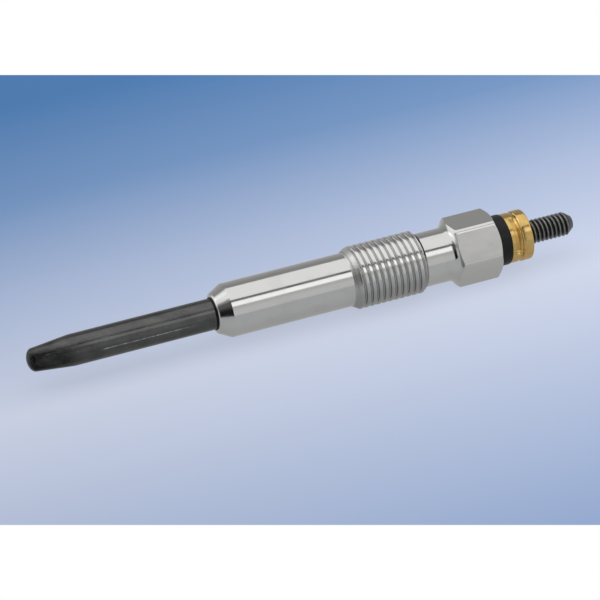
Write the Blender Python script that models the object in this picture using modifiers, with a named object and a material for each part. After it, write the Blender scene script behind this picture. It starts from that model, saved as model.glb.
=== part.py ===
"""Sheathed diesel glow plug with an M10 x 1 thread, a 9.85 mm hexagon and an M4 terminal.

The plug lies on a flat of its hexagon. World +X runs from the glow tip to the terminal and
the origin is on the floor below the middle of the plug. Every piece is modelled upright,
with the glow tip at z = 0, and hangs on one empty that lays the whole plug down.
Units are metres: MM turns the millimetres of a drawing into them.
"""

import math

import bpy
import bmesh
from mathutils import Matrix, Vector

MM = 0.001

# Lengths along the plug, from the glow tip to the end of the terminal
TUBE_PROJECTION = 29.1 * MM
BARREL_LENGTH = 22.1 * MM
THREAD_LENGTH = 12.35 * MM
NECK_LENGTH = 4.68 * MM
HEX_LENGTH = 7.42 * MM
WASHER_THICKNESS = 1.95 * MM
NUT_WIDTH = 3.65 * MM
STUD_PROJECTION = 7.9 * MM

# Glow tube, drawn from sheet and closed at the tip
TUBE_DIAMETER = 4.88 * MM
TUBE_WALL = 0.45 * MM
TUBE_IN_BODY = 19.0 * MM
TAPER_LENGTH = 5.9 * MM
TAPER_DEPTH = 0.62 * MM
TIP_DOME = 1.1 * MM
TIP_WALL = 1.0 * MM

# Plug body, turned from hexagonal bar
THREAD_DIAMETER = 9.87 * MM
THREAD_LEAD_IN = 0.55 * MM
BARREL_UNDERCUT = 0.735 * MM
NECK_UNDERCUT = 0.715 * MM
NOSE_RIM = 0.44 * MM
NOSE_EDGE = 0.2 * MM
SEAT_HALF_ANGLE = math.radians(28.3)
HEX_ACROSS_FLATS = 9.85 * MM
HEX_EDGE_RADIUS = 0.6 * MM
HEX_FACE_INSET = 0.17 * MM
HEX_CHAMFER_HALF_ANGLE = math.radians(60)
SHOULDER_HALF_ANGLE = math.radians(65)
SHOULDER_FILLET = 1.35 * MM
PIN_AIR_GAP = 0.35 * MM
SEAL_GAP = 1.25 * MM
COUNTERBORE_DEPTH = 2.0 * MM

# Coils and the powder round them
WIRE_DIAMETER = 0.36 * MM
COIL_COVER = 0.75 * MM
CHANNEL_GAP = 0.12 * MM
POWDER_LIP = 0.2 * MM
HEATING_TURNS = 7
HEATING_PITCH = 0.75 * MM
COIL_SPACE = 0.7 * MM
REGULATING_TURNS = 11
REGULATING_PITCH = 1.75 * MM

# Terminal pin, which ends in the terminal stud, and the seal of the tube
TUBE_SEAL_LENGTH = 3.0 * MM
PIN_SHANK = 4.8 * MM
STUD_DIAMETER = 3.76 * MM
STUD_CHAMFER = 0.85 * MM
STUD_POINT = 1.15 * MM

# Insulating washer
WASHER_DIAMETER = 8.0 * MM
WASHER_EDGE = 0.15 * MM

# Round nut
FRONT_FLANGE_DIAMETER = 7.82 * MM
FRONT_FLANGE_WIDTH = 1.3 * MM
REAR_FLANGE_DIAMETER = 7.96 * MM
REAR_FLANGE_WIDTH = 1.55 * MM
NUT_EDGE = 0.22 * MM
WAIST_DEPTH = 0.35 * MM
WAIST_FLANK = 0.22 * MM
CRIMP_SETBACK = 0.6 * MM
CRIMP_DEPTH = 0.75 * MM
CRIMP_WIDTH = 5.1 * MM
CRIMP_FLOOR = 0.5 * MM
CRIMP_FRONT_FLANK = 0.25 * MM
CRIMP_REAR_FLANK = 1.1 * MM
CRIMP_TURN = math.radians(63)

# Clearance on every side of a piece that sits in or on another
CLEARANCE = 0.05 * MM

# Facets round a turned piece, and points on each turn of a coil
FACETS = 48
INNER_FACETS = 32
COIL_STEPS = 12

# Stations worked out from the lengths
NOSE_AT = TUBE_PROJECTION
THREAD_AT = NOSE_AT + BARREL_LENGTH
NECK_AT = THREAD_AT + THREAD_LENGTH
SHOULDER_AT = NECK_AT + NECK_LENGTH
HEX_END = SHOULDER_AT + HEX_LENGTH
NUT_AT = HEX_END + WASHER_THICKNESS
NUT_END = NUT_AT + NUT_WIDTH
PLUG_LENGTH = NUT_END + STUD_PROJECTION
TUBE_END = NOSE_AT + TUBE_IN_BODY
TUBE_SEAL_AT = TUBE_END - TUBE_SEAL_LENGTH
TAPER_END = TIP_DOME + TAPER_LENGTH

# Radii worked out from the diameters
TUBE_RADIUS = TUBE_DIAMETER / 2
TUBE_INSIDE = TUBE_RADIUS - TUBE_WALL
TIP_RADIUS = TUBE_RADIUS - TAPER_DEPTH
TIP_INSIDE = TIP_RADIUS - TUBE_WALL
HEX_APOTHEM = HEX_ACROSS_FLATS / 2
HEX_CORNER = HEX_ACROSS_FLATS / math.sqrt(3)
COIL_RADIUS = TUBE_INSIDE - COIL_COVER - WIRE_DIAMETER / 2
CHANNEL_OUTSIDE = COIL_RADIUS + WIRE_DIAMETER / 2 + CHANNEL_GAP
CHANNEL_INSIDE = COIL_RADIUS - WIRE_DIAMETER / 2 - CHANNEL_GAP
PIN_RADIUS = CHANNEL_OUTSIDE - CLEARANCE
STUD_RADIUS = STUD_DIAMETER / 2
BODY_BORE = STUD_RADIUS + PIN_AIR_GAP
COUNTERBORE = STUD_RADIUS + SEAL_GAP


def clear_scene():
    for old in list(bpy.data.objects):
        bpy.data.objects.remove(old)


def new_collection(name):
    collection = bpy.data.collections.new(name)
    bpy.context.scene.collection.children.link(collection)
    return collection


def make_material(name, color, roughness, metallic):
    material = bpy.data.materials.new(name)
    material.use_nodes = True
    shader = material.node_tree.nodes["Principled BSDF"]
    shader.inputs["Base Color"].default_value = (*color, 1.0)
    shader.inputs["Roughness"].default_value = roughness
    shader.inputs["Metallic"].default_value = metallic
    return material


def add_object(name, data, collection, parent, material=None):
    piece = bpy.data.objects.new(name, data)
    collection.objects.link(piece)
    piece.parent = parent
    if material:
        data.materials.append(material)
    return piece


def hide_helper(helper):
    helper.hide_render = True
    helper.display_type = "WIRE"


def arc(centre, radius, start, end, steps):
    """Points of a round stretch of an outline, as (radius, station)."""
    points = []
    for step in range(steps + 1):
        angle = start + (end - start) * step / steps
        points.append((centre[0] + radius * math.cos(angle), centre[1] + radius * math.sin(angle)))
    return points


def outline_mesh(name, points, closed):
    """The outline of a turned piece, in the plane y = 0 with its radius along +X."""
    mesh = bpy.data.meshes.new(name)
    outline = bmesh.new()
    corners = [outline.verts.new((radius, 0, station)) for radius, station in points]
    pairs = list(zip(corners, corners[1:]))
    if closed:
        pairs.append((corners[-1], corners[0]))
    for first, second in pairs:
        outline.edges.new((first, second))
    outline.to_mesh(mesh)
    outline.free()
    return mesh


def turned(name, points, closed, facets, collection, parent, material=None):
    """A turned piece. Its outline runs down the outer side, from top to bottom.

    A closed outline makes a ring. An open one starts and ends on the axis.
    """
    piece = add_object(name, outline_mesh(name, points, closed), collection, parent, material)
    screw = piece.modifiers.new("Turn", "SCREW")
    screw.axis = "Z"
    screw.angle = 2 * math.pi
    screw.steps = facets
    screw.render_steps = facets
    screw.use_merge_vertices = True
    screw.merge_threshold = 0.001 * MM
    screw.use_smooth_shade = True
    return piece


def combine(piece, tool, operation):
    boolean = piece.modifiers.new(tool.name, "BOOLEAN")
    boolean.operation = operation
    boolean.solver = "EXACT"
    boolean.object = tool


def make_tube(collection, laid, material):
    """The glow tube, from the inside of its closed tip up the bore and down the outside."""
    dome = []
    for step in range(7):
        angle = math.pi / 2 * step / 6
        dome.append((TIP_RADIUS * math.cos(angle), TIP_DOME - TIP_DOME * math.sin(angle)))
    dome[-1] = (0, 0)
    points = [(0, TIP_WALL), (TIP_INSIDE, TIP_WALL), (TUBE_INSIDE, TAPER_END)]
    points += [(TUBE_INSIDE, TUBE_END), (TUBE_RADIUS, TUBE_END), (TUBE_RADIUS, TAPER_END)]
    points += dome
    return turned("glow_tube", points, False, INNER_FACETS, collection, laid, material)


def body_outline():
    """The turned blank of the body, with its bore, before the hexagon is milled."""
    fit = TUBE_RADIUS + CLEARANCE
    fit_end = TUBE_END + CLEARANCE
    nose = fit + NOSE_RIM
    crest = THREAD_DIAMETER / 2
    barrel = crest - BARREL_UNDERCUT
    neck = crest - NECK_UNDERCUT
    face = HEX_APOTHEM - HEX_FACE_INSET
    chamfer_at = HEX_END - (HEX_CORNER - face) / math.tan(HEX_CHAMFER_HALF_ANGLE)
    shoulder_end = SHOULDER_AT + (HEX_CORNER - neck) / math.tan(SHOULDER_HALF_ANGLE)
    seal_floor = HEX_END - COUNTERBORE_DEPTH
    fillet_run = SHOULDER_FILLET * math.tan(SHOULDER_HALF_ANGLE / 2)
    fillet = arc((neck + SHOULDER_FILLET, SHOULDER_AT - fillet_run), SHOULDER_FILLET,
                 math.pi - SHOULDER_HALF_ANGLE, math.pi, 6)
    seat_start = NOSE_AT + NOSE_EDGE
    seat_end = seat_start + (barrel - nose) / math.tan(SEAT_HALF_ANGLE)
    nose_edge = arc((nose - NOSE_EDGE, seat_start), NOSE_EDGE, 0, -math.pi / 2, 3)

    points = [(face, HEX_END), (HEX_CORNER, chamfer_at), (HEX_CORNER, shoulder_end)]
    points += fillet
    points += [(neck, NECK_AT), (crest, NECK_AT - THREAD_LEAD_IN)]
    points += [(crest, THREAD_AT + THREAD_LEAD_IN), (barrel, THREAD_AT), (barrel, seat_end)]
    points += nose_edge
    points += [(fit, NOSE_AT), (fit, fit_end), (BODY_BORE, fit_end), (BODY_BORE, seal_floor)]
    points += [(COUNTERBORE, seal_floor), (COUNTERBORE, HEX_END)]
    return points


def hexagon_form(collection, laid, low, high):
    """The hexagon as a long prism with rounded edges and one flat square to local X."""
    mesh = bpy.data.meshes.new("hexagon_form")
    shape = bmesh.new()
    bmesh.ops.create_cone(shape, cap_ends=True, segments=6, radius1=HEX_CORNER,
                          radius2=HEX_CORNER, depth=high - low)
    long_edges = []
    for edge in shape.edges:
        if abs(edge.verts[0].co.z - edge.verts[1].co.z) > HEX_EDGE_RADIUS:
            long_edges.append(edge)
    bmesh.ops.bevel(shape, geom=long_edges, offset=HEX_EDGE_RADIUS * math.tan(math.radians(30)),
                    offset_type="OFFSET", segments=3, profile=0.5, affect="EDGES")
    shape.to_mesh(mesh)
    shape.free()
    form = add_object("hexagon_form", mesh, collection, laid)
    form.location.z = (low + high) / 2
    hide_helper(form)
    return form


def make_body(collection, cutters, laid, material):
    """The body. Half a facet of turn puts a flat facet of the thread down, level with the hexagon."""
    body = turned("plug_body", body_outline(), True, FACETS, collection, laid, material)
    body.rotation_euler.z = math.pi / FACETS
    low = (NECK_AT + SHOULDER_AT) / 2
    high = HEX_END + HEX_LENGTH
    reach = 2 * HEX_CORNER
    form = hexagon_form(cutters, laid, low - HEX_LENGTH, high + HEX_LENGTH)
    mill = turned("hexagon_mill", [(0, high), (reach, high), (reach, low), (0, low)], False,
                  FACETS, cutters, laid)
    hide_helper(mill)
    combine(mill, form, "DIFFERENCE")
    combine(body, mill, "DIFFERENCE")
    return body


def make_coil(name, start, turns, pitch, collection, laid, material):
    """One coil of wire. It returns the station where its last turn ends."""
    curve = bpy.data.curves.new(name, "CURVE")
    curve.dimensions = "3D"
    curve.bevel_depth = WIRE_DIAMETER / 2
    curve.bevel_resolution = 2
    curve.use_fill_caps = True
    spline = curve.splines.new("POLY")
    steps = round(turns * COIL_STEPS)
    spline.points.add(steps)
    for step, point in enumerate(spline.points):
        angle = 2 * math.pi * step / COIL_STEPS
        place = Vector((COIL_RADIUS * math.cos(angle), COIL_RADIUS * math.sin(angle),
                        start + pitch * step / COIL_STEPS))
        point.co = (*place, 1)
    add_object(name, curve, collection, laid, material)
    return start + pitch * turns


def coil_start():
    """The station where the tapered tube is wide enough for the powder round the first coil."""
    needed = CHANNEL_OUTSIDE + POWDER_LIP + CLEARANCE
    share = (needed - TIP_INSIDE) / (TUBE_INSIDE - TIP_INSIDE)
    return TIP_WALL + share * (TAPER_END - TIP_WALL) + CHANNEL_GAP + WIRE_DIAMETER / 2


def make_filling(collection, laid, material, coils_at, pin_at):
    """The packed powder: a core inside the coils and a sleeve round them, joined at the tip."""
    channel_floor = coils_at - WIRE_DIAMETER / 2 - CHANNEL_GAP
    core_top = pin_at - CLEARANCE
    top = TUBE_SEAL_AT - CLEARANCE
    floor = TIP_WALL + CLEARANCE
    points = [(0, core_top), (CHANNEL_INSIDE, core_top), (CHANNEL_INSIDE, channel_floor)]
    points += [(CHANNEL_OUTSIDE, channel_floor), (CHANNEL_OUTSIDE, top)]
    points += [(TUBE_INSIDE - CLEARANCE, top), (TUBE_INSIDE - CLEARANCE, TAPER_END)]
    points += [(TIP_INSIDE - CLEARANCE, floor), (0, floor)]
    return turned("filling_powder", points, False, INNER_FACETS, collection, laid, material)


def make_tube_seal(collection, laid, material):
    outer = TUBE_INSIDE - CLEARANCE
    inner = PIN_RADIUS + CLEARANCE
    points = [(outer, TUBE_END), (outer, TUBE_SEAL_AT), (inner, TUBE_SEAL_AT), (inner, TUBE_END)]
    return turned("tube_seal", points, True, INNER_FACETS, collection, laid, material)


def make_pin(collection, laid, material, pin_at):
    stud_at = TUBE_END + PIN_SHANK
    points = [(0, PLUG_LENGTH), (STUD_RADIUS - STUD_CHAMFER, PLUG_LENGTH)]
    points += [(STUD_RADIUS, PLUG_LENGTH - STUD_POINT), (STUD_RADIUS, stud_at)]
    points += [(PIN_RADIUS, stud_at - abs(STUD_RADIUS - PIN_RADIUS)), (PIN_RADIUS, pin_at)]
    points += [(0, pin_at)]
    return turned("terminal_pin", points, False, INNER_FACETS, collection, laid, material)


def seal_section():
    """Radius of the round seal's cord, which fills the counterbore beside the stud."""
    return (SEAL_GAP - 2 * CLEARANCE) / 2


def make_body_seal(collection, laid, material):
    radius = seal_section()
    station = HEX_END - COUNTERBORE_DEPTH + CLEARANCE + radius
    middle = STUD_RADIUS + CLEARANCE + radius
    points = arc((middle, station), radius, math.pi / 2, -1.5 * math.pi, 12)[:-1]
    return turned("body_seal", points, True, INNER_FACETS, collection, laid, material)


def make_washer(collection, laid, material):
    """The insulating washer, with a collar that centres the stud in the body."""
    outer = WASHER_DIAMETER / 2
    bore = STUD_RADIUS + CLEARANCE
    collar = COUNTERBORE - CLEARANCE
    low = HEX_END + CLEARANCE
    collar_end = HEX_END - COUNTERBORE_DEPTH + 2 * seal_section() + 2 * CLEARANCE
    points = [(outer - WASHER_EDGE, NUT_AT), (outer, NUT_AT - WASHER_EDGE), (outer, low)]
    points += [(collar, low), (collar, collar_end), (bore, collar_end), (bore, NUT_AT)]
    return turned("insulating_washer", points, True, FACETS, collection, laid, material)


def crimp_jaws(collection, laid, low):
    """A ring with the section of the crimp jaws, cut by a bar to the two jaws' width."""
    flange = REAR_FLANGE_DIAMETER / 2
    floor = flange - CRIMP_DEPTH
    reach = flange + CRIMP_DEPTH
    floor_low = low + CRIMP_FRONT_FLANK
    floor_high = floor_low + CRIMP_FLOOR
    section = [(reach, floor_high + 2 * CRIMP_REAR_FLANK), (reach, floor_low - 2 * CRIMP_FRONT_FLANK)]
    section += [(floor, floor_low), (floor, floor_high)]
    jaws = turned("crimp_jaws", section, True, FACETS, collection, laid)
    mesh = bpy.data.meshes.new("jaw_width")
    bar = bmesh.new()
    bmesh.ops.create_cube(bar, size=1, matrix=Matrix.Diagonal((4 * reach, CRIMP_WIDTH, 2 * reach, 1)))
    bar.to_mesh(mesh)
    bar.free()
    width = add_object("jaw_width", mesh, collection, laid)
    width.location.z = low
    width.rotation_euler.z = CRIMP_TURN
    hide_helper(jaws)
    hide_helper(width)
    combine(jaws, width, "INTERSECT")
    return jaws


def make_nut(collection, cutters, laid, material):
    """The round nut: two flanges, a turned waist between them and the two crimp marks."""
    bore = STUD_RADIUS + CLEARANCE
    front = FRONT_FLANGE_DIAMETER / 2
    rear = REAR_FLANGE_DIAMETER / 2
    waist = front - WAIST_DEPTH
    low = NUT_AT + CLEARANCE
    waist_low = low + FRONT_FLANGE_WIDTH
    waist_high = NUT_END - REAR_FLANGE_WIDTH
    points = [(rear - NUT_EDGE, NUT_END), (rear, NUT_END - NUT_EDGE), (rear, waist_high)]
    points += [(waist, waist_high - WAIST_FLANK), (waist, waist_low + WAIST_FLANK)]
    points += [(front, waist_low), (front, low), (bore, low), (bore, NUT_END)]
    nut = turned("round_nut", points, True, FACETS, collection, laid, material)
    combine(nut, crimp_jaws(cutters, laid, low + CRIMP_SETBACK), "DIFFERENCE")
    return nut


def build():
    clear_scene()
    parts = new_collection("diesel_glow_plug")
    cutters = new_collection("cutters")
    laid = bpy.data.objects.new("plug_axis", None)
    parts.objects.link(laid)
    laid.location = (-PLUG_LENGTH / 2, 0, HEX_APOTHEM)
    laid.rotation_euler = (0, math.pi / 2, 0)

    plated = make_material("plated_steel", (0.62, 0.62, 0.61), 0.25, 1.0)
    oxidised = make_material("oxidised_tube", (0.07, 0.065, 0.06), 0.45, 0.6)
    blackened = make_material("blackened_steel", (0.06, 0.06, 0.065), 0.4, 0.8)
    brass = make_material("brass", (0.80, 0.55, 0.20), 0.22, 1.0)
    plastic = make_material("black_plastic", (0.02, 0.02, 0.022), 0.45, 0.0)
    rubber = make_material("seal_rubber", (0.02, 0.02, 0.02), 0.7, 0.0)
    powder = make_material("insulating_powder", (0.80, 0.79, 0.75), 0.9, 0.0)
    heating_wire = make_material("heating_wire", (0.45, 0.42, 0.38), 0.35, 1.0)
    regulating_wire = make_material("regulating_wire", (0.55, 0.53, 0.50), 0.3, 1.0)

    make_tube(parts, laid, oxidised)
    make_body(parts, cutters, laid, plated)
    coils_at = coil_start()
    heating_end = make_coil("heating_coil", coils_at, HEATING_TURNS, HEATING_PITCH,
                            parts, laid, heating_wire)
    regulating_end = make_coil("regulating_coil", heating_end + COIL_SPACE, REGULATING_TURNS,
                               REGULATING_PITCH, parts, laid, regulating_wire)
    pin_at = regulating_end + WIRE_DIAMETER / 2 + CLEARANCE
    make_filling(parts, laid, powder, coils_at, pin_at)
    make_tube_seal(parts, laid, rubber)
    make_pin(parts, laid, blackened, pin_at)
    make_body_seal(parts, laid, rubber)
    make_washer(parts, laid, plastic)
    make_nut(parts, cutters, laid, brass)


build()
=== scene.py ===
"""The looks of the diesel glow plug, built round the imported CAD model.

Lengths are in millimetres from the glow tip, along the plug, until a mesh is written in metres.
Round pieces are grids of stations and radii, with one column for each angle round the axis.
A corner of an outline is (station, radius, rounding, steps).
"""

import math
from collections import namedtuple

import bmesh
import bpy
import numpy as np
from mathutils import Matrix, Vector


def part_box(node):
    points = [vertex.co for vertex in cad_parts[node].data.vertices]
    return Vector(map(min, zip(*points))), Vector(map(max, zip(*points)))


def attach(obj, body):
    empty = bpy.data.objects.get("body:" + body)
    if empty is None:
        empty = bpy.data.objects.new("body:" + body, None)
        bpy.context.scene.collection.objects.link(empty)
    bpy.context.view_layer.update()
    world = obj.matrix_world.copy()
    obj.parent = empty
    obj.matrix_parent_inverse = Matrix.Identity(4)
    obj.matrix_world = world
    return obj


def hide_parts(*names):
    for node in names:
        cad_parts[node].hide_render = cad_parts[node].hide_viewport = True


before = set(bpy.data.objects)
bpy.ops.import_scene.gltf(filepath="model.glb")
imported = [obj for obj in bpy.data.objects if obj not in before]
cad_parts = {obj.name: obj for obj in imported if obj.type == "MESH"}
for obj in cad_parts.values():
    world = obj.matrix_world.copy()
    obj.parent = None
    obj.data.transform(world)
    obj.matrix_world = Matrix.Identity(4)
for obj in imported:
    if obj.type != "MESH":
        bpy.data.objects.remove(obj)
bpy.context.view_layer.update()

MM = 0.001
TIP_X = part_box("glow_tube")[0].x
AXIS_Z = (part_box("plug_body")[0].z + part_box("plug_body")[1].z) / 2

# Stations of the plug, from the glow tip
DOME_END = 1.1
TAPER_END = 7.0
NOSE_AT = 29.1
RIM_AT = NOSE_AT + 0.45
TUBE_END = 48.1
THREAD_AT = 51.2
NECK_AT = 63.55
THREAD_END = NECK_AT - 0.3
SHOULDER_AT = 68.23
HEX_END = 75.65
SEAL_FLOOR = HEX_END - 2.0
NUT_AT = 77.6
NUT_END = 81.25
STUD_AT = TUBE_END + 4.8
STUD_THREAD_AT = NUT_AT + 0.3
PLUG_END = 89.15
PIN_AT = (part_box("terminal_pin")[0].x - TIP_X) / MM

# Stations in the bores, where the outline of a ring starts and ends out of sight
BODY_JOIN = RIM_AT + 0.5
WASHER_JOIN = NUT_AT - 0.4
NUT_JOIN = NUT_AT + 1.8

# Radii
CLEAR = 0.05
DOME_R = 1.82
TUBE_R = 2.44
TUBE_INSIDE = 1.99
TIP_INSIDE = 1.37
FIT_R = TUBE_R + CLEAR
NOSE_R = 2.822
BARREL_R = 4.2
CREST_R = 4.925
NECK_R = 4.22
HEX_APOTHEM = 4.925
HEX_FACE_R = 4.755
STUD_R = 1.88
STUD_BORE_R = STUD_R + CLEAR
SHANK_R = 1.31
BORE_R = 2.23
COUNTERBORE_R = 3.13
WASHER_R = 4.0

# Edges and slopes: radii, turns and lengths along the plug
HEX_EDGE_R = 0.85
HEX_FLAT_TURN = math.degrees(math.atan((1 - HEX_EDGE_R / HEX_APOTHEM) * math.tan(math.radians(30))))
HEX_CHAMFER_SLOPE = math.tan(math.radians(60))
SEAT_TURN = 28.3
LIP_ROUNDING = 0.5
SLEEVE = 0.2
SHOULDER_FILLET = 1.35
SHOULDER_HALF_ANGLE = math.radians(65)
THREAD_START_SLOPE = 1.2
THREAD_END_SLOPE = 0.55
STUD_CHAMFER = 0.85
STUD_POINT = 1.15
SEAL_THICKNESS = 1.15

# Threads. A thread's flat and ROOT_HALF are half the widths of its crest and root, as shares of the
# pitch. Its phase, a share of a turn, says where the first crest lies, and SWELL is the share of the
# depth that rounds the crest. There are row_steps rows for each pitch.
Thread = namedtuple("Thread", "crest depth pitch flat phase row_steps")
BODY_THREAD = Thread(crest=CREST_R, depth=0.36, pitch=1.0, flat=0.22, phase=0.5, row_steps=20)
STUD_THREAD = Thread(crest=STUD_R, depth=0.38, pitch=0.7, flat=0.09, phase=0.0, row_steps=16)
STUD_ROOT = 1.45
ROOT_HALF = 0.04
SWELL = 0.15

# Skin zones of the plug body, in the order of its materials
TURNED, THREADED, MILLED, PAINTED_SHADOW = range(4)

# The photograph's view: its turns, the distance in millimetres, pixels for a millimetre at the
# plug, the station aimed at, how many pixels right of and above the middle that station lies, the
# picture's width in pixels and the sensor's in millimetres
VIEW_TILT = math.radians(16.0)
VIEW_FACE = math.radians(28.2)
VIEW_ROLL = math.radians(14.45)
DISTANCE = 500.0
SCALE = 6.55
AIM_AT = 43.83
AIM_RIGHT = 0.7
AIM_UP = 8.82
PICTURE = 600
SENSOR = 36.0

# Half the width and height of the blue sheet in the photograph's pixels, and the share of its
# colour that is lit like any other surface
SHEET_HALF_WIDTH = 400
SHEET_HALF_HEIGHT = 225
SHEET_LIT = 0.24

# Distance in millimetres within which the points of a mesh are welded
WELD = 0.0004


# Meshes of the round pieces

def hex_columns(flat_steps, edge_steps):
    """Angles round the axis, closer together on the hexagon's rounded edges."""
    flat = HEX_FLAT_TURN
    sector = np.concatenate([np.linspace(-flat, flat, flat_steps, endpoint=False),
                             np.linspace(flat, 60 - flat, edge_steps, endpoint=False)])
    return np.radians(np.concatenate([sector + 60 * k + 30 for k in range(6)]))


def even_columns(count):
    return np.arange(count) * 2 * math.pi / count


def hex_radius(angles):
    """Radius of the hexagon with rounded edges. Its flats lie at 30, 90, 150 degrees and so on."""
    off_flat = np.degrees(angles) % 60 - 30
    off_corner = np.radians(30 - np.abs(off_flat))
    centre = (HEX_APOTHEM - HEX_EDGE_R) / math.cos(math.radians(30))
    inside = np.clip(HEX_EDGE_R ** 2 - (centre * np.sin(off_corner)) ** 2, 0, None)
    round_r = centre * np.cos(off_corner) + np.sqrt(inside)
    flat_r = HEX_APOTHEM / np.cos(np.radians(off_flat))
    return np.where(np.abs(off_flat) <= HEX_FLAT_TURN, flat_r, round_r)


def rounded(corners, angles):
    """Rows of stations and radii along an outline's corners."""
    longest_cut = 0.46
    count = len(angles)
    points = [np.stack([np.broadcast_to(np.asarray(x, float), count),
                        np.broadcast_to(np.asarray(r, float), count)], -1) for x, r, _, _ in corners]
    rows = [points[0]]
    for k in range(1, len(corners) - 1):
        rounding, steps = corners[k][2], corners[k][3]
        if not rounding:
            rows.append(points[k])
            continue
        back, ahead = points[k - 1] - points[k], points[k + 1] - points[k]
        back_len = np.linalg.norm(back, axis=1, keepdims=True)
        ahead_len = np.linalg.norm(ahead, axis=1, keepdims=True)
        back, ahead = back / back_len, ahead / ahead_len
        half_turn = (math.pi - np.arccos(np.clip((back * ahead).sum(1), -1, 1))) / 2
        cut = (rounding * np.tan(half_turn))[:, None]
        cut = np.minimum(cut, longest_cut * np.minimum(back_len, ahead_len))
        for step in range(steps + 1):
            s = step / steps
            rows.append(points[k] + back * cut * (1 - s) ** 2 + ahead * cut * s ** 2)
    rows.append(points[-1])
    return np.stack(rows)


def densify(rows, low, high, step):
    """Adds rows between low and high so that none are further apart than step."""
    out = [rows[0]]
    for before, after in zip(rows, rows[1:]):
        middle = (before[0, 0] + after[0, 0]) / 2
        parts = 1
        if low < middle < high:
            parts = max(1, int(math.ceil(abs(after[0, 0] - before[0, 0]) / step)))
        for part in range(1, parts + 1):
            out.append(before + (after - before) * part / parts)
    return np.stack(out)


class Skin:
    """Collects patches of a round piece and writes them as one welded mesh."""

    def __init__(self, angles):
        self.angles = angles
        self.points = []
        self.faces = []
        self.zones = []
        self.depth = []
        self.total = 0

    def add_points(self, stations, radii, depth):
        x = TIP_X + stations * MM
        y = radii * np.cos(self.angles) * MM
        z = AXIS_Z + radii * np.sin(self.angles) * MM
        self.points.append(np.stack([x, y, z], -1).reshape(-1, 3))
        self.depth.append(np.broadcast_to(depth, x.shape).reshape(-1))
        start = self.total
        self.total += x.size
        return start

    def patch(self, rows, zone=0, depth=0.0):
        """Adds a closed band through the rows."""
        start = self.add_points(rows[:, :, 0], rows[:, :, 1], depth)
        count = len(self.angles)
        for k in range(len(rows) - 1):
            for j in range(count):
                n = (j + 1) % count
                low, high = start + k * count, start + (k + 1) * count
                self.faces.append((low + j, low + n, high + n, high + j))
                self.zones.append(zone)

    def thread(self, shape, start_at, end_at, limit, zone=0, fade_at=1e9):
        """A right-handed helical thread. limit(station) gives the largest radius there.

        Its groove fades out over the last pitch before fade_at.
        """
        count = len(self.angles)
        row_steps = shape.row_steps
        share = self.angles / (2 * math.pi)
        rows = int(math.ceil((end_at - start_at) / shape.pitch * row_steps)) + 2
        index = np.arange(-row_steps, rows + row_steps + 1)
        free = start_at + (index[:, None] / row_steps + share[None, :]) * shape.pitch
        stations = np.clip(free, start_at, end_at)
        turn = (index / row_steps + shape.phase) % 1.0
        off_crest = np.abs((turn + 0.5) % 1.0 - 0.5)
        flank = np.clip((off_crest - shape.flat) / (0.5 - shape.flat - ROOT_HALF), 0, 1)
        groove = (1 - np.cos(math.pi * flank)) / 2
        round_crest = (1 - np.cos(2 * math.pi * off_crest)) / 2
        profile = (1 - SWELL) * groove + SWELL * round_crest
        profile = profile[:, None] * np.clip((fade_at - stations) / shape.pitch, 0, 1)
        radii = np.minimum(shape.crest - shape.depth * profile, limit(stations))
        shade = np.where(free == stations, profile, 0.0)
        start = self.add_points(stations, radii, shade)
        for i in range(len(index) - 1):
            for j in range(count):
                wrap = j == count - 1
                n_low = i + (row_steps if wrap else 0)
                if n_low + 1 >= len(index):
                    continue
                n = 0 if wrap else j + 1
                self.faces.append((start + i * count + j, start + n_low * count + n,
                                   start + (n_low + 1) * count + n, start + (i + 1) * count + j))
                self.zones.append(zone)

    def finish(self, name, materials):
        mesh = bpy.data.meshes.new(name)
        mesh.from_pydata(np.concatenate(self.points).tolist(), [], self.faces)
        shade = mesh.attributes.new("depth", "FLOAT", "POINT")
        shade.data.foreach_set("value", np.concatenate(self.depth).astype(np.float32))
        mesh.polygons.foreach_set("material_index", np.array(self.zones, np.int32))
        work = bmesh.new()
        work.from_mesh(mesh)
        bmesh.ops.remove_doubles(work, verts=work.verts, dist=WELD * MM)
        bmesh.ops.dissolve_degenerate(work, edges=work.edges, dist=WELD / 2 * MM)
        bmesh.ops.recalc_face_normals(work, faces=work.faces)
        for face in work.faces:
            face.smooth = True
        work.to_mesh(mesh)
        work.free()
        for material in materials:
            mesh.materials.append(material)
        piece = bpy.data.objects.new(name, mesh)
        bpy.context.scene.collection.objects.link(piece)
        normals = piece.modifiers.new("Normals", "WEIGHTED_NORMAL")
        normals.mode = "FACE_AREA_WITH_ANGLE"
        normals.keep_sharp = True
        return piece


def place(piece, node):
    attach(piece, "root")
    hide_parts(node)


# Materials

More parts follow.
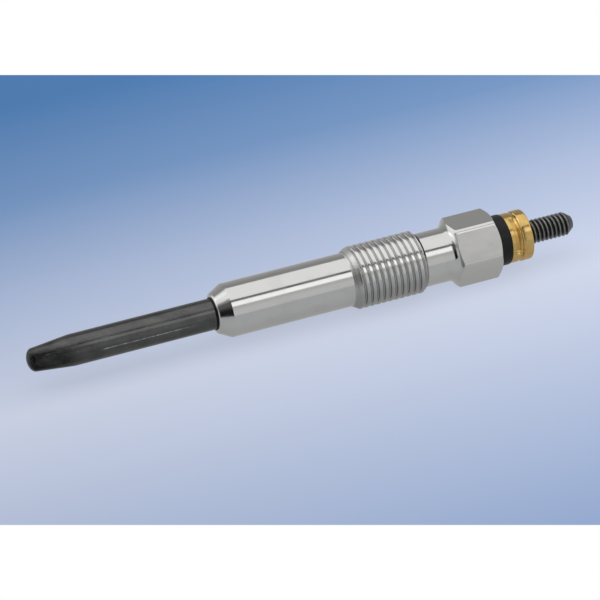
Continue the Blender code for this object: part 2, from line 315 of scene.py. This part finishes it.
class Nodes:
    """Short forms for building a node tree."""

    def __init__(self, tree):
        self.tree = tree

    def new(self, kind):
        return self.tree.nodes.new("ShaderNode" + kind)

    def link(self, source, target):
        self.tree.links.new(source, target)

    def feed(self, slot, value):
        """Sets a socket to a constant, or links an output to it."""
        if isinstance(value, (int, float)):
            slot.default_value = value
        elif isinstance(value, tuple):
            slot.default_value = (*value, 1)
        else:
            self.link(value, slot)

    def span(self, source, low, high, to_low=0.0, to_high=1.0, smooth=False):
        node = self.new("MapRange")
        node.interpolation_type = "SMOOTHSTEP" if smooth else "LINEAR"
        for name, value in (("From Min", low), ("From Max", high), ("To Min", to_low), ("To Max", to_high)):
            node.inputs[name].default_value = value
        self.link(source, node.inputs["Value"])
        return node.outputs["Result"]

    def math(self, operation, *values):
        node = self.new("Math")
        node.operation = operation
        for slot, value in zip(node.inputs, values):
            self.feed(slot, value)
        return node.outputs[0]

    def product(self, first, *others):
        for other in others:
            first = self.math("MULTIPLY", first, other)
        return first

    def mix(self, factor, a, b):
        """A colour between a and b."""
        node = self.new("Mix")
        node.data_type = "RGBA"
        self.feed([s for s in node.inputs if s.name == "Factor" and s.type == "VALUE"][0], factor)
        for name, value in (("A", a), ("B", b)):
            self.feed([s for s in node.inputs if s.name == name and s.type == "RGBA"][0], value)
        return [s for s in node.outputs if s.type == "RGBA"][0]

    def ramp(self, source, low, high, stops):
        """A colour ramp from low to high, with stops of a value and its colour."""
        node = self.new("ValToRGB")
        self.link(self.span(source, low, high), node.inputs["Fac"])
        elements = node.color_ramp.elements
        for count, (value, color) in enumerate(stops):
            position = (value - low) / (high - low)
            stop = elements[count] if count < 2 else elements.new(position)
            stop.position = position
            stop.color = (*color, 1)
        return node.outputs["Color"]

    def split(self, source):
        node = self.new("SeparateXYZ")
        self.link(source, node.inputs[0])
        return node.outputs


class Look(Nodes):
    """A procedural material round one Principled shader."""

    def __init__(self, name, metallic, roughness, color):
        self.material = bpy.data.materials.new(name)
        self.material.use_nodes = True
        super().__init__(self.material.node_tree)
        self.shader = self.tree.nodes["Principled BSDF"]
        self.shader.inputs["Metallic"].default_value = metallic
        self.shader.inputs["Roughness"].default_value = roughness
        self.shader.inputs["Base Color"].default_value = (*color, 1)
        self.coords = self.new("TexCoord").outputs["Object"]
        self.height = None

    def noise(self, size, stretch=(1, 1, 1), detail=2.0, roughness=0.5, distortion=0.0):
        """Noise whose features are about size millimetres, longer along the larger stretches."""
        mapping = self.new("Mapping")
        mapping.inputs["Scale"].default_value = tuple(1 / (size * MM * s) for s in stretch)
        texture = self.new("TexNoise")
        texture.inputs["Scale"].default_value = 1.0
        texture.inputs["Detail"].default_value = detail
        texture.inputs["Roughness"].default_value = roughness
        texture.inputs["Distortion"].default_value = distortion
        self.link(self.coords, mapping.inputs["Vector"])
        self.link(mapping.outputs["Vector"], texture.inputs["Vector"])
        return texture.outputs["Fac"]

    def attribute(self, name):
        node = self.new("Attribute")
        node.attribute_name = name
        return node.outputs["Fac"]

    def axis(self, name):
        return self.split(self.coords)[name]

    def along(self, low, high, to_low=0.0, to_high=1.0, smooth=False):
        """A span between two stations of the plug."""
        return self.span(self.axis("X"), TIP_X + low * MM, TIP_X + high * MM, to_low, to_high, smooth)

    def above(self, low, high, to_low=0.0, to_high=1.0, smooth=False):
        """A span between two heights in millimetres above the plug's axis."""
        return self.span(self.axis("Z"), AXIS_Z + low * MM, AXIS_Z + high * MM, to_low, to_high, smooth)

    def color(self, source):
        self.link(source, self.shader.inputs["Base Color"])

    def rough(self, source):
        self.link(source, self.shader.inputs["Roughness"])

    def bump(self, height, distance, strength=1.0):
        """Adds to the surface relief. distance is in millimetres."""
        node = self.new("Bump")
        node.inputs["Strength"].default_value = strength
        node.inputs["Distance"].default_value = distance * MM
        self.link(height, node.inputs["Height"])
        if self.height:
            self.link(self.height, node.inputs["Normal"])
        self.height = node.outputs["Normal"]
        self.link(self.height, self.shader.inputs["Normal"])


def plated_steel():
    """Bright plating over turned steel, with fine turning rings, and satin on the conical seat."""
    look = Look("plated_steel", 1.0, 0.12, (0.58, 0.57, 0.55))
    rings = look.noise(0.09, (1, 40, 40), 2)
    cloud = look.noise(2.2, (1.6, 1, 1), 3, 0.6)
    specks = look.noise(0.16, (1.6, 1, 1), 2)
    on_seat = look.along(31.5, 31.7, 0.17, 0.0)
    look.rough(look.math("MAXIMUM", look.span(cloud, 0.3, 0.7, 0.08, 0.16), on_seat))
    stain = look.span(cloud, 0.45, 0.75, 0.0, 0.5, True)
    look.color(look.mix(stain, (0.575, 0.572, 0.562), (0.51, 0.507, 0.498)))
    look.bump(rings, 0.004, 0.5)
    look.bump(specks, 0.002, 0.35)
    return look.material


def plated_thread():
    """The same plating on the rolled thread, with painted shade in its grooves and on its lower side, and
    duller where it starts.
    """
    look = Look("plated_thread", 1.0, 0.25, (0.58, 0.57, 0.55))
    depth = look.attribute("depth")
    cloud = look.noise(1.4, (1, 1, 1), 3, 0.6)
    # Painted shade: the grooves darken in random patches, and the thread darkens below its axis.
    groove = look.product(look.span(depth, 0.5, 1.0, 0.0, 1.0, True), look.span(cloud, 0.25, 0.7, 0.6, 1.0))
    painted_shade = look.math("MAXIMUM", groove, look.above(-1.0, 1.8, 1.0, 0.0))
    look.color(look.mix(painted_shade, (0.61, 0.607, 0.6), (0.38, 0.378, 0.374)))
    at_start = look.along(52.1, 52.7, 1.0, 0.0)
    look.rough(look.math("ADD", look.span(depth, 0.0, 1.0, 0.12, 0.22), look.product(at_start, 0.24)))
    look.bump(look.product(look.noise(0.4, (1, 1, 1), 3, 0.6), at_start), 0.07, 0.6)
    look.bump(look.noise(0.3, (1, 1, 1), 3), 0.006, 0.4)
    return look.material


def plated_hexagon():
    """The plating on the drawn hexagon, satin, with faint marks of handling."""
    look = Look("plated_hexagon", 1.0, 0.1, (0.58, 0.57, 0.55))
    cloud = look.noise(1.8, (2.2, 1, 1), 3, 0.6)
    look.rough(look.span(cloud, 0.3, 0.7, 0.13, 0.19))
    marks = look.noise(0.5, (3, 1, 1), 4, 0.7, 0.6)
    wear = look.span(marks, 0.6, 0.72, 0.0, 0.5, True)
    look.color(look.mix(wear, (0.575, 0.572, 0.562), (0.49, 0.487, 0.478)))
    look.bump(look.noise(0.1, (14, 1, 1), 2), 0.0015, 0.4)
    look.bump(marks, 0.002, 0.35)
    return look.material


def painted_shadow_rim():
    """Near-black painted shadow on steel: the rim round the heater tube, and the top of the groove behind
    the thread.
    """
    look = Look("painted_shadow_rim", 1.0, 0.35, (0.02, 0.02, 0.02))
    cloud = look.noise(0.5, (1, 1, 1), 3)
    # Painted shadow: near black, except low on the groove behind the thread, which keeps a plain steel
    # colour.
    black = look.mix(look.span(cloud, 0.3, 0.7), (0.012, 0.012, 0.012), (0.03, 0.03, 0.031))
    bright = look.product(look.along(40, 41), look.above(1.4, 2.4, 1.0, 0.0))
    look.color(look.mix(bright, black, (0.48, 0.47, 0.46)))
    look.rough(look.span(cloud, 0.3, 0.7, 0.3, 0.5))
    look.bump(cloud, 0.004, 0.4)
    return look.material


def oxidised_tube():
    """Drawn alloy, dark from heat. Round its tip it is near black below, sooty and with painted shade, and
    lighter on top as a painted highlight. Along its front runs one long pale line, a painted reflection.
    """
    look = Look("oxidised_tube", 1.0, 0.22, (0.095, 0.097, 0.094))
    cloud = look.noise(2.4, (2.2, 1, 1), 4, 0.62, 0.3)
    fine = look.noise(0.22, (3, 1, 1), 3, 0.6)
    near_tip = look.along(5, 9, 1.0, 0.0, True)
    top = look.above(1.3, 1.85, 0.0, 1.0, True)
    heat = look.mix(look.span(cloud, 0.32, 0.7), (0.066, 0.068, 0.067), (0.122, 0.125, 0.12))
    # Round the tip: near black below, sooty and with painted shade, and lighter on top as a painted
    # highlight.
    soot_and_shade = look.mix(look.span(cloud, 0.4, 0.68), (0.014, 0.014, 0.014), (0.048, 0.049, 0.048))
    painted_highlight_top = look.mix(look.span(cloud, 0.35, 0.65), (0.056, 0.058, 0.056), (0.13, 0.132, 0.128))
    surface = look.mix(near_tip, heat, look.mix(top, soot_and_shade, painted_highlight_top))
    flecked = look.mix(look.span(fine, 0.55, 0.8, 0.0, 0.4), surface, (0.17, 0.172, 0.166))
    # Painted reflection: a broken pale line along the front, just above the axis, where the front lamp's
    # reflection runs.
    off_line = look.math("ABSOLUTE", look.math("SUBTRACT", look.axis("Z"), AXIS_Z + 0.1 * MM))
    painted_reflection_line = look.product(look.span(off_line, 0.04 * MM, 0.11 * MM, 1.0, 0.0),
                           look.span(look.axis("Y"), -1 * MM, 0, 1.0, 0.0),
                           look.along(10.8, 11.6), look.along(22, 26.5, 1.0, 0.0),
                           look.span(look.noise(0.35, (2, 1, 1), 2), 0.4, 0.6, 0.25, 0.8))
    look.color(look.mix(painted_reflection_line, flecked, (0.50, 0.50, 0.49)))
    look.rough(look.math("ADD", look.span(cloud, 0.3, 0.7, 0.17, 0.3), look.product(near_tip, 0.08)))
    look.bump(fine, 0.005, 0.4)
    drawn_lines = look.noise(0.12, (90, 1, 1), 1)
    look.bump(look.span(drawn_lines, 0.6, 0.75, 0.0, 1.0, True), 0.005, 0.5)
    return look.material


def black_plastic():
    look = Look("black_plastic", 0.0, 0.42, (0.018, 0.018, 0.02))
    grain = look.noise(0.15, (1, 1, 1), 3)
    look.color(look.mix(look.span(grain, 0.3, 0.7), (0.008, 0.008, 0.009), (0.014, 0.014, 0.015)))
    look.rough(look.span(look.noise(0.8, (1, 1, 1), 3), 0.3, 0.7, 0.34, 0.46))
    look.shader.inputs["Specular IOR Level"].default_value = 0.2
    look.bump(grain, 0.005, 0.4)
    return look.material


def brass():
    """Turned brass, tarnished in patches, with painted shade darkening its pressed groove."""
    look = Look("brass", 1.0, 0.2, (0.59, 0.38, 0.11))
    cloud = look.noise(0.9, (1, 1, 1), 4, 0.6)
    rings = look.noise(0.06, (1, 30, 30), 2)
    pressed = look.attribute("depth")
    # Tarnished in random patches, and darker in the pressed dents as painted shade.
    tarnish_and_dent_shade = look.math("MAXIMUM", look.span(cloud, 0.45, 0.75, 0.0, 0.6, True),
                        look.span(pressed, 0.25, 0.7, 0.0, 0.6, True))
    look.color(look.mix(tarnish_and_dent_shade, (0.61, 0.425, 0.155), (0.54, 0.31, 0.08)))
    look.rough(look.math("ADD", look.span(cloud, 0.3, 0.75, 0.14, 0.28),
                         look.span(pressed, 0.1, 0.6, 0.0, 0.12)))
    look.bump(rings, 0.004, 0.5)
    look.bump(look.noise(0.3, (1, 1, 1), 3), 0.006, 0.35)
    return look.material


def blackened_steel():
    """The terminal thread: blackened, rubbed lighter on its crests, less so on its point."""
    look = Look("blackened_steel", 0.9, 0.34, (0.05, 0.05, 0.052))
    depth = look.attribute("depth")
    cloud = look.noise(0.7, (1, 1, 1), 3, 0.6)
    crest = look.product(look.span(depth, 0.1, 0.6, 1.0, 0.0, True), look.span(cloud, 0.3, 0.65, 0.5, 1.0),
                         look.along(87.9, 88.4, 1.0, 0.5))
    look.color(look.mix(crest, (0.045, 0.046, 0.047), (0.25, 0.255, 0.255)))
    look.rough(look.span(cloud, 0.3, 0.7, 0.28, 0.42))
    look.bump(look.noise(0.1, (1, 1, 1), 2), 0.004, 0.4)
    return look.material


def drawn_wire(name, color):
    """Bright wire with fine dark marks."""
    look = Look(name, 1.0, 0.32, color)
    lines = look.noise(0.05, (1, 1, 1), 3)
    dark = tuple(c * 0.7 for c in color)
    look.color(look.mix(look.span(lines, 0.3, 0.7), color, dark))
    look.rough(look.span(lines, 0.3, 0.7, 0.25, 0.45))
    look.bump(lines, 0.003, 0.4)
    return look.material


def packed_powder():
    look = Look("insulating_powder", 0.0, 0.92, (0.80, 0.79, 0.75))
    grains = look.noise(0.12, (1, 1, 1), 4, 0.7)
    look.color(look.mix(look.span(grains, 0.3, 0.7), (0.84, 0.83, 0.79), (0.70, 0.69, 0.64)))
    look.rough(look.span(grains, 0.3, 0.7, 0.85, 1.0))
    look.bump(grains, 0.03, 0.6)
    return look.material


def seal_rubber():
    look = Look("seal_rubber", 0.0, 0.7, (0.02, 0.02, 0.02))
    grain = look.noise(0.2, (1, 1, 1), 3)
    look.color(look.mix(look.span(grain, 0.3, 0.7), (0.016, 0.016, 0.016), (0.03, 0.03, 0.03)))
    look.rough(look.span(grain, 0.3, 0.7, 0.6, 0.8))
    look.bump(grain, 0.01, 0.5)
    return look.material


# Pieces of the plug

def shoulder_corners(hexagon):
    """The hollow shoulder, a fillet and a cone, from the neck to where it meets the hexagon."""
    cone, rounding = 2, 0.2
    turn = np.linspace(0, SHOULDER_HALF_ANGLE, 60)
    fillet_at = SHOULDER_AT - SHOULDER_FILLET * math.tan(SHOULDER_HALF_ANGLE / 2)
    stations = fillet_at + SHOULDER_FILLET * np.sin(turn)
    radii = NECK_R + SHOULDER_FILLET * (1 - np.cos(turn))
    stations = np.append(stations, stations[-1] + cone * math.cos(SHOULDER_HALF_ANGLE))
    radii = np.append(radii, radii[-1] + cone * math.sin(SHOULDER_HALF_ANGLE))
    length = np.append(0, np.cumsum(np.hypot(np.diff(stations), np.diff(radii))))
    full = np.interp(hexagon, radii, length)
    corners = []
    for share in np.linspace(0, 1, 13):
        along = (full - rounding) * share
        corners.append((np.interp(along, length, stations), np.interp(along, length, radii), 0, 0))
    corners.append((np.interp(full, length, stations), hexagon, rounding, 6))
    return corners


def nose_corners():
    """The rim, painted near black as shadow, with its thin sleeve on the heater tube, and the bright lip,
    seat and barrel.
    """
    slope = math.tan(math.radians(SEAT_TURN))
    turns = np.radians(np.linspace(90, SEAT_TURN, 10))
    stations = RIM_AT + LIP_ROUNDING * (1 - np.sin(turns))
    last_r = NOSE_R + (stations[-1] - NOSE_AT) * slope
    radii = last_r + LIP_ROUNDING * (np.cos(turns) - math.cos(turns[-1]))
    rim = [(BODY_JOIN, FIT_R, 0, 0), (RIM_AT - SLEEVE - 0.02, FIT_R, 0, 0),
           (RIM_AT - SLEEVE, FIT_R + 0.04, 0, 0), (RIM_AT, FIT_R + 0.05, 0, 0),
           (RIM_AT, FIT_R + 0.14, 0, 0)]
    lip = [(station, radius, 0, 0) for station, radius in zip(stations, radii)]
    seat_end = NOSE_AT + (BARREL_R - NOSE_R) / slope
    barrel = [(seat_end, BARREL_R, 0.2, 6), (THREAD_AT, BARREL_R, 0, 0)]
    return rim, rim[-1:] + lip + barrel


def make_body():
    angles = hex_columns(28, 8)
    hexagon = hex_radius(angles)
    skin = Skin(angles)
    rim, seat = nose_corners()
    # Painted shadow: the rim round the tube is near black.
    skin.patch(rounded(rim, angles), PAINTED_SHADOW)
    skin.patch(rounded(seat, angles), TURNED)

    def limit(station):
        start = BARREL_R + (station - THREAD_AT) * (CREST_R - BARREL_R) / THREAD_START_SLOPE
        end = NECK_R + (THREAD_END - station) * (CREST_R - NECK_R) / THREAD_END_SLOPE
        return np.minimum(start, end)

    skin.thread(BODY_THREAD, THREAD_AT, THREAD_END, limit, THREADED)

    groove_end, groove_r = THREAD_END + 0.14, NECK_R - 0.05
    groove = [(THREAD_END, NECK_R, 0, 0), (THREAD_END + 0.03, groove_r, 0, 0),
              (groove_end - 0.03, groove_r, 0, 0), (groove_end, NECK_R, 0, 0)]
    # Painted shadow: the top of this groove is near black.
    skin.patch(rounded(groove, angles), PAINTED_SHADOW)

    neck = [(groove_end, NECK_R, 0, 0)] + shoulder_corners(hexagon)
    chamfer_at = HEX_END - (hexagon - HEX_FACE_R) / HEX_CHAMFER_SLOPE
    back = [(chamfer_at, hexagon, 0.12, 5), (HEX_END, HEX_FACE_R, 0.1, 4),
            (HEX_END, COUNTERBORE_R, 0.05, 3), (SEAL_FLOOR, COUNTERBORE_R, 0, 0),
            (SEAL_FLOOR, BORE_R, 0, 0), (TUBE_END + CLEAR, BORE_R, 0, 0),
            (TUBE_END + CLEAR, FIT_R, 0, 0), (BODY_JOIN, FIT_R, 0, 0)]
    rows = rounded(neck + back, angles)
    split = len(neck) + 3
    skin.patch(rows[:split], TURNED)
    skin.patch(rows[split - 1:], MILLED)
    return skin.finish("plug_body_skin", [plated_steel(), plated_thread(), plated_hexagon(), painted_shadow_rim()])


def make_tube():
    angles = even_columns(144)
    skin = Skin(angles)
    tip_wall, dome_steps = 1.0, 11
    outline = [(0.0, 0.0, 0, 0)]
    for step in range(1, dome_steps):
        turn = math.pi / 2 * step / dome_steps
        outline.append((DOME_END * (1 - math.cos(turn)), DOME_R * math.sin(turn), 0, 0))
    outline += [(DOME_END, DOME_R, 0.35, 4), (TAPER_END, TUBE_R, 9.0, 10), (TUBE_END, TUBE_R, 0.1, 3),
                (TUBE_END, TUBE_INSIDE, 0, 0), (TAPER_END, TUBE_INSIDE, 0, 0),
                (tip_wall, TIP_INSIDE, 0, 0), (tip_wall, 0.0, 0, 0)]
    skin.patch(rounded(outline, angles))
    return skin.finish("glow_tube_skin", [oxidised_tube()])


def make_washer():
    angles = even_columns(144)
    skin = Skin(angles)
    collar = COUNTERBORE_R - CLEAR
    collar_end = SEAL_FLOOR + SEAL_THICKNESS + 0.1
    flange_at = HEX_END + CLEAR
    ring = [(WASHER_JOIN, STUD_BORE_R, 0, 0), (NUT_AT, STUD_BORE_R, 0.08, 3), (NUT_AT, WASHER_R, 0.2, 8),
            (flange_at, WASHER_R, 0.12, 6), (flange_at, collar, 0, 0), (collar_end, collar, 0, 0),
            (collar_end, STUD_BORE_R, 0, 0), (WASHER_JOIN, STUD_BORE_R, 0, 0)]
    skin.patch(rounded(ring, angles))
    return skin.finish("insulating_washer_skin", [black_plastic()])


def dent(stations, radii, angles, dent_at):
    """How deep a tool has pressed into both flanges of the nut, on two opposite sides."""
    floor_r, wall, soft, clear_of_bore = 3.23, 0.75, 0.03, 0.3
    low_slope, floor, high_slope = 0.25, 0.5, 0.8
    middle, half_turn, edge_turn = 153, 50.0, 8.0
    floor_at = dent_at + low_slope
    rise = np.maximum((floor_at - stations) / low_slope, (stations - floor_at - floor) / high_slope) * wall
    jaw = floor_r + np.sqrt(np.clip(rise, 0, None) ** 2 + soft ** 2) - soft
    off = np.abs((np.degrees(angles) - middle + 90) % 180 - 90)
    edge = np.clip((half_turn - off) / edge_turn, 0, 1)
    mask = edge * edge * (3 - 2 * edge)
    outside = radii > STUD_BORE_R + clear_of_bore
    return np.where(outside, np.clip(radii - jaw, 0, None), 0) * mask[None, :]


def make_nut():
    angles = even_columns(216)
    skin = Skin(angles)
    front_r, rear_r, waist_r, waist_wall = 3.91, 3.98, 3.56, 0.22
    face = NUT_AT + CLEAR
    waist_low, waist_high = face + 1.3, NUT_END - 1.55
    ring = [(NUT_JOIN, STUD_BORE_R, 0, 0), (face, STUD_BORE_R, 0.1, 3), (face, front_r, 0.1, 5),
            (waist_low, front_r, 0.1, 5), (waist_low + waist_wall, waist_r, 0.06, 3),
            (waist_high - waist_wall, waist_r, 0.06, 3), (waist_high, rear_r, 0.1, 5),
            (NUT_END, rear_r, 0.28, 8), (NUT_END, STUD_BORE_R, 0.12, 4), (NUT_JOIN, STUD_BORE_R, 0, 0)]
    dent_at, dent_length = face + 0.6, 2.1
    rows = densify(rounded(ring, angles), dent_at - 0.1, dent_at + dent_length, 0.03)
    stations, radii = rows[:, :, 0], rows[:, :, 1]
    cut = dent(stations, radii, angles, dent_at)
    skin.patch(np.stack([stations, radii - cut], -1), 0, cut)
    return skin.finish("round_nut_skin", [brass()])


def make_pin():
    angles = even_columns(144)
    skin = Skin(angles)
    shank_end = STUD_AT - STUD_R + SHANK_R
    skin.patch(rounded([(PIN_AT, 0.0, 0, 0), (PIN_AT, SHANK_R, 0.1, 3), (shank_end, SHANK_R, 0, 0),
                        (STUD_AT, STUD_R, 0, 0), (STUD_THREAD_AT - 0.2, STUD_R, 0, 0),
                        (STUD_THREAD_AT, STUD_ROOT, 0, 0)], angles))

    def limit(station):
        start = STUD_ROOT + (station - STUD_THREAD_AT) * 1.5
        point = STUD_R - STUD_CHAMFER + (PLUG_END - station) * STUD_CHAMFER / STUD_POINT
        return np.minimum(start, point)

    skin.thread(STUD_THREAD, STUD_THREAD_AT, PLUG_END, limit, fade_at=PLUG_END - 0.5)
    skin.patch(rounded([(PLUG_END, STUD_R - STUD_CHAMFER, 0, 0), (PLUG_END, 0.0, 0, 0)], angles))
    return skin.finish("terminal_pin_skin", [blackened_steel()])


place(make_body(), "plug_body")
place(make_tube(), "glow_tube")
place(make_washer(), "insulating_washer")
place(make_nut(), "round_nut")
place(make_pin(), "terminal_pin")

rubber = seal_rubber()
for node, material in (("heating_coil", drawn_wire("heating_wire", (0.45, 0.42, 0.38))),
                       ("regulating_coil", drawn_wire("regulating_wire", (0.55, 0.53, 0.50))),
                       ("filling_powder", packed_powder()),
                       ("tube_seal", rubber),
                       ("body_seal", rubber)):
    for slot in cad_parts[node].material_slots:
        slot.material = material


# Floor, light and camera

def picture_axes():
    """The photograph's view. The plug's axis is tilted away from the camera and rolled in the frame."""
    level = math.cos(VIEW_TILT)
    view = Vector((-math.sin(VIEW_TILT), -level * math.cos(VIEW_FACE), level * math.sin(VIEW_FACE)))
    along = Vector((1, 0, 0)) - view.x * view
    along.normalize()
    across = view.cross(along)
    right = math.cos(VIEW_ROLL) * along - math.sin(VIEW_ROLL) * across
    up = math.sin(VIEW_ROLL) * along + math.cos(VIEW_ROLL) * across
    aim = Vector((TIP_X + AIM_AT * MM, 0, AXIS_Z))
    eye = aim + (view * DISTANCE - right * (AIM_RIGHT / SCALE) - up * (AIM_UP / SCALE)) * MM
    return view, right, up, eye


def make_floor():
    """A blue sheet on a white ground, with a painted pool of light: palest beside the plug.

    A part of its colour is its own light, for the camera and reflections, and lights no surface.
    Reflections see that light without its blue.
    """
    view, right, up, eye = picture_axes()
    corners = []
    for side, end in ((-1, -1), (1, -1), (1, 1), (-1, 1)):
        ray = right * side * SHEET_HALF_WIDTH + up * end * SHEET_HALF_HEIGHT - view * (SCALE * DISTANCE)
        corner = eye - ray * (eye.z / ray.z)
        corners.append((corner.x, corner.y, 0))
    mesh = bpy.data.meshes.new("floor")
    mesh.from_pydata(corners, [], [(0, 1, 2, 3)])
    floor = bpy.data.objects.new("floor", mesh)
    bpy.context.scene.collection.objects.link(floor)
    look = Look("floor", 0.0, 0.9, (0.22, 0.24, 0.29))
    look.shader.inputs["Specular IOR Level"].default_value = 0.1
    front, rear = -0.075, 0.105
    # Painted pool of light: the blue is palest beside the plug and darker towards the front and the rear.
    blue = look.ramp(look.axis("Y"), front, rear, (
        (front, (0.30, 0.40, 0.62)), (-0.007, (0.61, 0.66, 0.80)), (0.028, (0.42, 0.50, 0.69)),
        (0.065, (0.175, 0.295, 0.525)), (rear, (0.074, 0.198, 0.435))))
    look.color(look.mix(SHEET_LIT, (0.0, 0.0, 0.0), blue))
    path = look.new("LightPath").outputs
    glow = look.mix(path["Is Camera Ray"], (0.565, 0.565, 0.545), blue)
    look.link(glow, look.shader.inputs["Emission Color"])
    seen = look.math("MAXIMUM", path["Is Camera Ray"], path["Is Glossy Ray"])
    seen = look.math("MAXIMUM", seen, path["Is Transmission Ray"])
    # Painted light: the sheet's own light grows stronger towards the right.
    strength = look.product(seen, look.span(look.axis("X"), -0.08, 0.08, 0.69, 0.87))
    look.link(strength, look.shader.inputs["Emission Strength"])
    mesh.materials.append(look.material)


def make_lamp(name, turn_low, turn_high, left, right, radiance, distance=600.0):
    """A soft box parallel to the plug. The turns are degrees from level in front, up and over.

    Left, right and the distance are in millimetres.
    """
    middle = math.radians((turn_low + turn_high) / 2)
    width = 2 * distance * math.tan(math.radians((turn_high - turn_low) / 2)) * MM
    length = (right - left) * MM
    lamp = bpy.data.lights.new(name, "AREA")
    lamp.shape = "RECTANGLE"
    lamp.size = length
    lamp.size_y = width
    lamp.energy = radiance * math.pi * length * width
    holder = bpy.data.objects.new(name, lamp)
    bpy.context.scene.collection.objects.link(holder)
    toward = Vector((0, -math.cos(middle), math.sin(middle)))
    centre = Vector((0, 0, AXIS_Z)) + toward * distance * MM + Vector(((left + right) / 2 * MM, 0, 0))
    across = toward.cross(Vector((1, 0, 0)))
    basis = Matrix((Vector((1, 0, 0)), across, toward)).transposed()
    holder.matrix_world = Matrix.Translation(centre) @ basis.to_4x4()
    holder.visible_camera = False


def make_world():
    """The studio that the plug reflects, by turn from level in front, up and over, and by side.

    The camera sees a white ground in its place.
    """
    world = bpy.data.worlds.new("studio")
    bpy.context.scene.world = world
    world.use_nodes = True
    nodes = Nodes(world.node_tree)
    toward = nodes.split(nodes.new("TexCoord").outputs["Generated"])
    front = nodes.product(toward["Y"], -1.0)
    turn = nodes.product(nodes.math("ARCTAN2", toward["Z"], front), 180 / math.pi)
    levels = ((-180, 0.5), (-5, 0.70), (2, 0.75), (16, 0.75), (23, 0.70), (28, 0.62), (33, 0.66),
              (53, 0.62), (55, 0.18), (62, 0.18), (64, 0.42), (126, 0.42), (132, 0.35), (142, 0.35),
              (152, 0.40), (170, 0.46))
    ring = nodes.ramp(turn, -180, 180, [(degrees, (level,) * 3) for degrees, level in levels])

    def fade(source, low, high, to_low=1.0, to_high=0.0):
        return nodes.span(source, low, high, to_low, to_high, True)

    left = nodes.math("SUBTRACT", fade(toward["X"], -0.45, -0.27), fade(toward["X"], -0.94, -0.8))
    low = nodes.math("ADD", fade(turn, 45, 82, 0.8), fade(turn, 20, 52, 0.19))
    shade = nodes.math("SUBTRACT", 1.0, nodes.product(left, low))
    rear_left = nodes.product(fade(toward["X"], -0.6, -0.4, 0.8), fade(toward["Y"], 0.1, 0.35, 0.0, 1.0))
    reflected = nodes.math("ADD", nodes.product(ring, shade), rear_left)
    is_camera = nodes.new("LightPath").outputs["Is Camera Ray"]
    background = nodes.tree.nodes["Background"]
    nodes.link(nodes.mix(is_camera, reflected, (1.0, 1.0, 1.0)), background.inputs["Color"])
    background.inputs["Strength"].default_value = 1.0


def make_camera():
    view, right, up, eye = picture_axes()
    camera = bpy.data.cameras.new("camera")
    camera.sensor_width = SENSOR
    camera.lens = SCALE * DISTANCE / PICTURE * SENSOR
    camera.clip_start = 0.01
    camera.clip_end = 50
    holder = bpy.data.objects.new("camera", camera)
    bpy.context.scene.collection.objects.link(holder)
    basis = Matrix((right, up, view)).transposed()
    holder.matrix_world = Matrix.Translation(eye) @ basis.to_4x4()
    bpy.context.scene.camera = holder


make_floor()
make_lamp("overhead_box", 63.4, 127, -400, 2000, 0.76)
make_lamp("overhead_left", 78, 127, -1600, -400, 0.76)
make_lamp("front_strip", 35, 53.4, -100, 900, 0.86)
make_world()
make_camera()
bpy.context.scene.view_settings.view_transform = "Standard"
